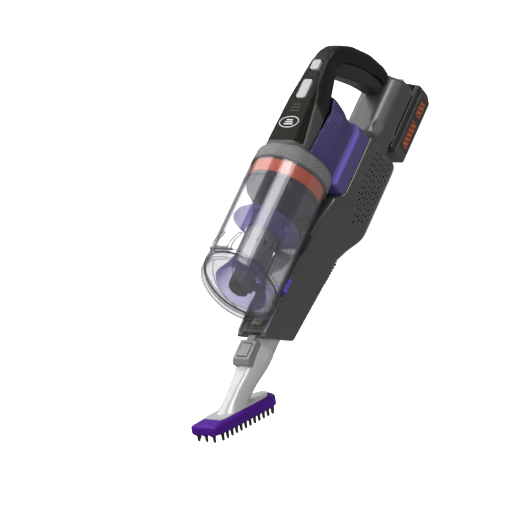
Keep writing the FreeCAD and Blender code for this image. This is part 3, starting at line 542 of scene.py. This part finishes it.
def rounded_outline(corners, arc_steps, edge_steps):
    """Closed outline through (x, y, radius) corners, with the same point count for any sizes."""
    out = []
    count = len(corners)
    arcs = []
    for i in range(count):
        p = Vector(corners[i][:2])
        a = (Vector(corners[i - 1][:2]) - p).normalized()
        b = (Vector(corners[(i + 1) % count][:2]) - p).normalized()
        half = 0.5 * math.acos(max(-1.0, min(1.0, a.dot(b))))
        run = corners[i][2] / math.tan(half)
        start, stop = p + a * run, p + b * run
        centre = p + (a + b).normalized() * corners[i][2] / math.sin(half)
        arc = []
        for k in range(arc_steps + 1):
            t = k / arc_steps
            ray = (start - centre) * (1 - t) + (stop - centre) * t
            arc.append(centre + ray.normalized() * corners[i][2])
        arcs.append(arc)
    for i in range(count):
        out += arcs[i]
        last, following = arcs[i][-1], arcs[(i + 1) % count][0]
        for k in range(1, edge_steps):
            out.append(last.lerp(following, k / edge_steps))
    return out


# ---------------------------------------------------------------- hard shells with rounded edges
def widen(points, target, low, high, weight):
    """Scales a skin across the machine so that its half width follows target(z) between two heights."""
    x, y, z = axis_mm(points).T
    steps = np.arange(low, high, 1.0)
    flank = (x > 60) & (x < 90)       # a stretch where the side is straight
    half = np.array([np.abs(y[flank & (np.abs(z - h) < 0.8)]).max() for h in steps])
    ratio = target(z) / np.interp(z, steps, half)
    inside = (z > low - 0.6) & (z < high)
    points[:, 1] *= 1.0 + (ratio - 1.0) * inside * weight(x, z)


def cover_half_width(z):
    """Ribbed flank, a rolled ledge below it and a plain skirt down to the seam."""
    roll = np.clip((LEDGE_TOP - z) / LEDGE_DROP, 0.0, 1.0)
    return RIBBED_HALF + LEDGE_REACH * np.sqrt(1.0 - (1.0 - roll) ** 2)


def ribbed_cover():
    """Purple cover: fine ribs along the bin axis above a rolled ledge and a plain skirt."""
    mesh = even_mesh(["ribbed_cover"], 0.75 * MM)
    relax(mesh, 30)
    points = points_of(mesh)
    widen(points, cover_half_width, -65.4, -8.0, lambda x, z: smooth_step(x, 20, 30) * smooth_step(-z, 8, 20))
    x, _, z = axis_mm(points).T
    drawn_in = smooth_step(-z, -12, 30) * (1.0 - smooth_step(-z, 36, 44))
    points[:, 0] -= 4.0 * MM * smooth_step(x, 100, 120) * drawn_in
    set_points(mesh, points)
    relax(mesh, 12)
    points, normals = points_of(mesh), normals_of(mesh)
    x, y, z = axis_mm(points).T
    side = smooth_step(np.abs(normals[:, 1]), 0.72, 0.9) * (np.abs(y) > 20)
    zone = side * smooth_step(x, 27, 30) * smooth_step(-x, -110, -104)
    zone *= smooth_step(z, LOWEST_RIB, LOWEST_RIB + 2)
    rib = 0.5 - 0.5 * np.cos(2 * math.pi * z / RIB_PITCH)
    points -= normals * (RIB_DEPTH * MM * zone * rib)[:, None]
    set_points(mesh, points)
    shown("cover_ribbed", mesh, "hand_unit", "purple_cover", ["ribbed_cover"])


def housing():
    """Grey housing and nose duct in one smooth body whose top edge stands just proud of the cover."""
    nodes = ["housing_left", "housing_right", "duct_shell"]
    mesh = even_mesh(nodes, 0.66 * MM)
    relax(mesh, 2)
    points = points_of(mesh)
    widen(points, lambda z: 0 * z + HOUSING_HALF, -92.0, -66.4, lambda x, z: smooth_step(x, 18, 34))
    set_points(mesh, points)
    relax(mesh, 22, away_from_vents)
    relax(mesh, 260, lambda p: soft_zone(p) * away_from_vents(p))
    shown("housing_skin", mesh, "hand_unit", "body_grey", nodes)


def soft_zone(p):
    """1 where the housing swells out of the duct, at the grip's foot, at the rear and along the belly."""
    swell = smooth_step(p[:, 0], -64, -44) * smooth_step(-p[:, 0], -26, -14) * smooth_step(-p[:, 2], 50, 54)
    foot = smooth_step(p[:, 0], 150, 158) * (np.abs(p[:, 1]) > 14)
    rear = smooth_step(p[:, 0], 116, 122) * smooth_step(-p[:, 0], -146, -138)
    belly = smooth_step(-p[:, 2], 132, 138) * smooth_step(p[:, 0], -10, 10)
    return np.maximum(np.maximum(swell, foot), np.maximum(rear, belly))


def away_from_vents(p):
    """0 over the vent slots, so that they stay crisp, and 1 elsewhere."""
    field = smooth_step(p[:, 0], 0, 5) * smooth_step(-p[:, 0], -126, -121)
    field *= smooth_step(-p[:, 2], 80, 84) * smooth_step(p[:, 2], -131, -128)
    return 1.0 - field * (np.abs(p[:, 1]) > 30)


def clear_travel(mesh, buttons, travel):
    """Lowers the floor of a pocket, so that a pressed button stays free of it."""
    points = points_of(mesh)
    for name in buttons:
        low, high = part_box(name)
        floor_z = low[2] - travel * MM
        bottom = np.array((low[0] - POCKET_EDGE * MM, low[1] - POCKET_EDGE * MM, floor_z))
        top = np.array((high[0] + POCKET_EDGE * MM, high[1] + POCKET_EDGE * MM, high[2] + 2 * MM))
        points[((points > bottom) & (points < top)).all(axis=1), 2] = floor_z
    set_points(mesh, points)


def hard_shells():
    """Rounded skins over the pieces that need no shaping of their own."""
    black = rounded_skin("black_skin", ["top_shell", "grip_skin"], "hand_unit", "black_soft", 0.85, 18)
    clear_travel(black.data, ["power_button", "boost_button"], 1.6)
    rounded_skin("cap_skin", ["separator_cap"], "hand_unit", "separator_grey", 0.8, 24)
    rounded_skin("panel_skin", ["control_panel"], "hand_unit", "black_gloss", 0.7, 8)
    rounded_skin("core_skin", ["grip_core"], "hand_unit", "grip_core", 0.8, 12,
                 weight=lambda p: smooth_step(-p[:, 2], 40, 60), more=90)
    rounded_skin("battery_top_skin", ["battery_top"], "battery", "battery_case", 0.85, 9)
    rounded_skin("battery_base_skin", ["battery_base"], "battery", "battery_frame", 0.85, 9)
    rounded_skin("latch_skin", ["tool_latch_block"], "pet_tool", "latch_grey", 0.5, 10)
    rounded_skin("latch_button_skin", ["tool_latch_button"], "tool_catch", "latch_grey", 0.4, 8, trim=0.3)
    rounded_skin("release_skin", ["lid_release"], "release", "purple_bright", 0.6, 6)
    rounded_skin("collar_skin", ["inlet_collar"], "hand_unit", "dark_rubber", 0.7, 12)


# ---------------------------------------------------------------- pet tool
def sole_corners(inset, toe):
    """Corners (x, y, radius) of the sole's outline: square toe, round heel."""
    h = SOLE_HALF - inset
    end = SOLE_LENGTH - inset
    half = [(toe, h - 1.5, 4.0), (30.0, h, 40.0), (end, h, h * 0.97)]
    return half + [(x, -y, r) for x, y, r in reversed(half)]


def sole_ring(inset, toe, z, scallop):
    """Outline of the sole at height z, scalloped between the nubs."""
    ring = []
    for p in rounded_outline(sole_corners(inset, toe), 10, 46):
        wave = 0.5 - 0.5 * math.cos(2 * math.pi * (p.x - FIRST_NUB) / NUB_PITCH)
        if p.x < 7:
            wave = 0.5 - 0.5 * math.cos(2 * math.pi * p.y / TOE_NUB_PITCH)
        ring.append(on_sole(p.x, p.y, z + scallop * wave))
    return ring


def shoe():
    """Rubber shoe round the plate. Each step is inset, toe inset, height and scallop depth."""
    steps = [
        (6.7, 21.2, -7.5, 0.0), (6.7, 21.2, 2.6, 0.0), (7.0, 22.0, 3.1, 0.0), (6.2, 20.0, 2.9, 0.0),
        (3.4, 10.5, 1.7, 0.0), (1.2, 3.0, 0.6, 0.0), (0.4, 0.8, -0.1, 0.0), (0.05, 0.0, -1.2, 0.0),
        (0.0, 0.0, -5.0, 0.0), (0.0, 0.0, -8.5, 0.5), (0.3, 0.3, -11.4, 1.7), (1.0, 1.0, -12.0, 2.0),
        (2.6, 2.6, -11.6, 2.0), (4.4, 4.4, -8.2, 0.6), (6.7, 6.7, -7.9, 0.0), (6.7, 21.2, -7.5, 0.0),
    ]
    lofted("shoe", [sole_ring(*s) for s in steps], "pet_tool", "purple_rubber", ["tool_shoe"])


def nub_spots():
    """Three nubs at the toe, two long rows and four round the heel."""
    spots = [(4.5, y) for y in (-TOE_NUB_PITCH, 0.0, TOE_NUB_PITCH)]
    for i in range(12):
        spots += [(FIRST_NUB + NUB_PITCH * i, side * 18.6) for side in (-1, 1)]
    return spots + [(122.0, 14.0), (122.0, -14.0), (129.5, 6.5), (129.5, -6.5)]


def nubs():
    """Tapered rubber nubs with round tips. The profile is (height, radius)."""
    profile = [(-8.6, 3.0), (-10.4, 2.9), (-12.2, 2.45), (-14.0, 2.1),
               (-17.5, 1.95), (-19.2, 1.75), (-20.2, 1.15), (-20.6, 0.35)]
    parts = []
    for x, y in nub_spots():
        parts.append(turned(profile, 18, lambda u, v, h, x=x, y=y: on_sole(x + u, y + v, h)))
    merged("nubs", parts, "pet_tool", "dark_rubber", ["tool_nubs", "tool_nubs_heel"])


def neck():
    """Spigot, round neck with a soft crease on top, and a foot that flares into the plate."""
    foot_z = 4.25
    c, s = math.cos(SOLE_TILT), math.sin(SOLE_TILT)
    reach = (NECK_Z - SOLE_TOE[1] - foot_z * c) / -s
    foot_x = SOLE_TOE[0] + reach * c + foot_z * s
    rings = []
    angles = around(96)

    def round_ring(x, r):
        return [place(x, r * math.cos(a), NECK_Z + r * math.sin(a)) for a in angles]

    for x, r in ((-238, 15.9), (-164, 15.9), (-162.4, 16.4), (-162.0, 17.6), (-162.6, 18.7), (-164, 19.0),
                 (-205.8, 19.0), (-206.1, 19.3), (-207.0, NECK_RADIUS), (NECK_START, NECK_RADIUS)):
        rings.append(round_ring(x, r))
    flat_dir = Vector((c, 0, -s))
    stages = 22
    for i in range(1, stages + 1):
        t = i / stages
        turn = t * t * (3 - 2 * t)
        centre_x = NECK_START + (foot_x - NECK_START) * t
        waist = NECK_RADIUS - 5.6 * math.sin(min(1.0, t / 0.72) * math.pi / 2) ** 2
        wide = waist + 1.3 * max(0.0, (t - 0.8) / 0.2) ** 2
        tall = waist + (23.6 - waist) * turn ** 1.5 + 4.0 * max(0.0, (t - 0.85) / 0.15) ** 2
        up = (Vector((0, 0, 1)) * (1 - turn) - flat_dir * turn).normalized()
        ring = []
        for a in angles:
            lean = math.exp(-((a - math.pi / 2) / 0.34) ** 2)
            dip = 1.2 * lean * math.sin(math.pi * min(1.0, max(0.0, (t - 0.32) / 0.6)))
            dent = 1.6 * math.exp(-((a - math.pi / 2) / 0.45) ** 2 - ((t - 0.42) / 0.09) ** 2)
            v = (tall - dip - dent) * math.sin(a)
            ring.append(place(centre_x, wide * math.cos(a), NECK_Z) + up * v * MM)
        rings.append(ring)
    lofted("neck", rings, "pet_tool", "white_plastic", ["tool_neck"])
    for side in (-1, 1):
        rib = rounded_bar(-226, -208.5, side * 19.0, 1.3, NECK_Z + 2.5, 1.7)
        merged("neck_rib_left" if side > 0 else "neck_rib_right", [rib], "pet_tool", "white_plastic")


def tube_along(points, radius, closed=False):
    """Points and faces of a thin round bead that follows a chain of points."""
    count = len(points)
    out = []
    for i, p in enumerate(points):
        before = points[i - 1] if closed or i else points[0]
        after = points[(i + 1) % count] if closed or i < count - 1 else points[-1]
        along = (after - before).normalized()
        side = along.cross(Vector((0.31, 0.27, 0.91))).normalized()
        top = along.cross(side)
        out += [p + (side * math.cos(a) + top * math.sin(a)) * radius * MM for a in around(BEAD_SIDES)]
    return out, band_faces(count, BEAD_SIDES, closed)


def lid_ring(radius, offset):
    """Points of a circle about the bin axis that lies in a plane parallel to the lid joint."""
    out = []
    for a in around(LINE_STEPS):
        z = radius * math.sin(a)
        out.append(place(LID_X + offset + LID_SLOPE * z, radius * math.cos(a), z))
    return out


def lid_face(y, z, lift):
    """Point on the outside of the lid's dome."""
    n = Vector((-1, 0, LID_SLOPE)).normalized()
    base = Vector((LID_X + LID_RIM + LID_SLOPE * z, y, z))
    spread = Vector((LID_SLOPE * z, y, z)).length
    return AXIS_ORIGIN + (base + n * (DOME_RISE - spread ** 2 / DOME_FALL + lift)) * MM


def spline(knots, steps):
    """Smooth chain of (y, z) points through knots."""
    out = []
    for i in range(len(knots) - 1):
        p0, p1, p2, p3 = (Vector(knots[max(0, min(len(knots) - 1, i + k))]) for k in (-1, 0, 1, 2))
        for k in range(steps):
            t = k / steps
            out.append(0.5 * (2 * p1 + (p2 - p0) * t + (2 * p0 - 5 * p1 + 4 * p2 - p3) * t * t
                              + (3 * p1 - p0 - 3 * p2 + p3) * t ** 3))
    out.append(Vector(knots[-1]))
    return out


def bin_lines():
    """Moulded beads of the clear bin and its lid, which read as thin dark lines."""
    curve = spline([(14, 47.5), (22, 30), (25.7, 8), (20, -13), (11.5, -30), (4, -46)], 14)
    rib = [lid_face(p[0], p[1], 0.1) for p in curve]
    inner = [lid_face(p[0], p[1], 0.1) for p in spline([(-17, 45), (-10, 30), (-8, 14), (-13, 2)], 10)]
    beads = [tube_along(lid_ring(52.9, -9.6), 0.40, True), tube_along(lid_ring(49.9, -10.3), 0.32, True)]
    beads += [tube_along(rib, 0.40), tube_along(inner, 0.30)]
    merged("lid_beads", beads, "lid", "clear_edge")
    shell = [tube_along(lid_ring(53.1, 3.6), 0.36, True)]
    ring = [place(-27.0, 50.9 * math.cos(a), 50.9 * math.sin(a)) for a in around(LINE_STEPS)]
    shell.append(tube_along(ring, 0.32, True))
    arm_line = ((-150, 59.3), (-143, 60.3), (-134, 58.4), (-124, 53.9), (-119, 52.2))
    arm_sides = (10.2, 16.2)
    for side in (-1, 1):
        shell += [tube_along([place(x, side * y, z) for x, z in arm_line], 0.5) for y in arm_sides]
        shell.append(tube_along([place(-119, side * y, 52.4) for y in arm_sides], 0.5))
    for x, z in ((-151.4, 57.5), (-147.5, 60.7), (-143.5, 57.5)):
        shell.append(tube_along([place(x, y, z) for y in (-9.0, 0.0, 9.0)], 0.45))
    merged("bin_beads", shell, "dust_bin", "clear_edge")


def duct_details():
    """Pale rails beside the contact recess and the pale gasket frame under the bin."""
    rails = [rounded_bar(-196.0, -150.0, side * 21.0, 1.6, -54.9, 0.9) for side in (-1, 1)]
    merged("duct_rails", rails, "hand_unit", "latch_grey")
    frame_bars = [rounded_bar(-119.0, -84.0, side * 12.0, 2.0, -54.6, 1.0) for side in (-1, 1)]
    frame_bars.append(rounded_bar(-119.0, -84.0, 0.0, 10.5, -55.0, 0.7))
    merged("inlet_frame", frame_bars, "hand_unit", "latch_grey")


def rounded_bar(x0, x1, y, half_y, z, half_z):
    """Points and faces of a bar along X with rounded section and ends."""
    points = []
    stops = ((x0, 0.4), (x0 + 0.5, 0.8), (x0 + 1.2, 1.0), (x1 - 1.2, 1.0), (x1 - 0.5, 0.8), (x1, 0.4))
    for x, k in stops:
        for a in around(BAR_SIDES):
            u = math.copysign(abs(math.cos(a)) ** 0.6, math.cos(a))
            v = math.copysign(abs(math.sin(a)) ** 0.6, math.sin(a))
            points.append(place(x, y + half_y * k * u, z + half_z * k * v))
    return points, capped_faces(len(stops), BAR_SIDES)


# ---------------------------------------------------------------- studio, in metres and watts
LAMP_AIM = Vector((0.0, 0.0, 0.12))
CAMERA_AZIMUTH, CAMERA_ELEVATION, CAMERA_ROLL = (math.radians(a) for a in (-34.68, 40.91, -40.9))
CAMERA_DISTANCE = 4.0
CAMERA_LENS = 213.6
BIN_RIGHT, BIN_ABOVE = 0.0300, 0.1085     # place of the bin joint against the middle of the picture


def softbox(name, ray, distance, size, power, diffuse=True, gloss=True):
    """Rectangular lamp in the direction ray from the machine, its long side along the machine."""
    z = Vector(ray).normalized()
    x = (Vector((1.0, 0.0, 0.0)) - z * z.x).normalized()
    y = z.cross(x)
    lamp = bpy.data.lights.new(name, "AREA")
    lamp.shape = "RECTANGLE"
    lamp.size, lamp.size_y = size
    lamp.energy = power
    thing = bpy.data.objects.new(name, lamp)
    thing.matrix_world = Matrix.Translation(LAMP_AIM + z * distance) @ Matrix((x, y, z)).transposed().to_4x4()
    thing.visible_diffuse = diffuse
    thing.visible_glossy = gloss
    bpy.context.scene.collection.objects.link(thing)


def floor():
    """White paper under the machine. It neither lights the machine nor shows in it."""
    mesh = bpy.data.meshes.new("floor")
    reach = 12.0
    corners = [(-reach, -reach, 0), (reach, -reach, 0), (reach, reach, 0), (-reach, reach, 0)]
    mesh.from_pydata(corners, [], [(0, 1, 2, 3)])
    thing = bpy.data.objects.new("floor", mesh)
    bpy.context.scene.collection.objects.link(thing)
    paper = moulded("floor_paper", (0.93, 0.93, 0.93), 0.8, 300.0, 0.00002, 0.05, 0.004)
    shell = next(node for node in paper.node_tree.nodes if node.type == "BSDF_PRINCIPLED")
    shell.inputs["Emission Color"].default_value = (1.0, 1.0, 1.0, 1.0)
    shell.inputs["Emission Strength"].default_value = 0.9
    mesh.materials.append(paper)
    thing.visible_diffuse = False
    thing.visible_glossy = False


def world():
    """Even white light from all round."""
    sky = bpy.data.worlds.new("studio")
    sky.use_nodes = True
    sky.node_tree.nodes["Background"].inputs["Color"].default_value = (1.0, 1.0, 1.0, 1.0)
    sky.node_tree.nodes["Background"].inputs["Strength"].default_value = 0.32
    bpy.context.scene.world = sky


def camera():
    """Long lens, rolled: the nose of the machine points down and left in the picture."""
    roll, level = CAMERA_ROLL, math.cos(CAMERA_ELEVATION)
    back = Vector((math.sin(CAMERA_AZIMUTH) * level, -math.cos(CAMERA_AZIMUTH) * level, math.sin(CAMERA_ELEVATION)))
    side = Vector((0, 0, 1)).cross(back).normalized()
    top = back.cross(side)
    right = math.cos(roll) * side + math.sin(roll) * top
    up = -math.sin(roll) * side + math.cos(roll) * top
    aim = AXIS_ORIGIN - right * BIN_RIGHT - up * BIN_ABOVE
    data = bpy.data.cameras.new("camera")
    data.sensor_width = 36.0
    data.lens = CAMERA_LENS
    data.clip_end = 60.0
    thing = bpy.data.objects.new("camera", data)
    turn = Matrix((right, up, back)).transposed().to_4x4()
    thing.matrix_world = Matrix.Translation(aim + back * CAMERA_DISTANCE) @ turn
    bpy.context.scene.collection.objects.link(thing)
    bpy.context.scene.camera = thing


ribbed_cover()
housing()
hard_shells()
shoe()
nubs()
neck()
bin_lines()
duct_details()

floor()
world()
camera()
softbox("bin_strip", (0.43, -0.36, 0.83), 2.2, (2.2, 0.75), 24.0, diffuse=False)
softbox("bin_strip_wide", (0.43, -0.38, 0.82), 2.2, (2.2, 1.35), 30.0, diffuse=False)
softbox("left_edge", (0.43, 0.86, 0.26), 2.3, (1.8, 0.8), 8.0, diffuse=False)
softbox("key", (0.30, 0.62, 0.72), 2.6, (1.8, 1.4), 66.0, gloss=False)
softbox("top_gloss", (0.42, 0.62, 0.66), 2.6, (1.8, 1.4), 14.0, diffuse=False)
softbox("front", (-0.45, -0.62, 0.66), 2.8, (1.6, 1.4), 24.0)
bpy.context.scene.view_settings.view_transform = "Standard"
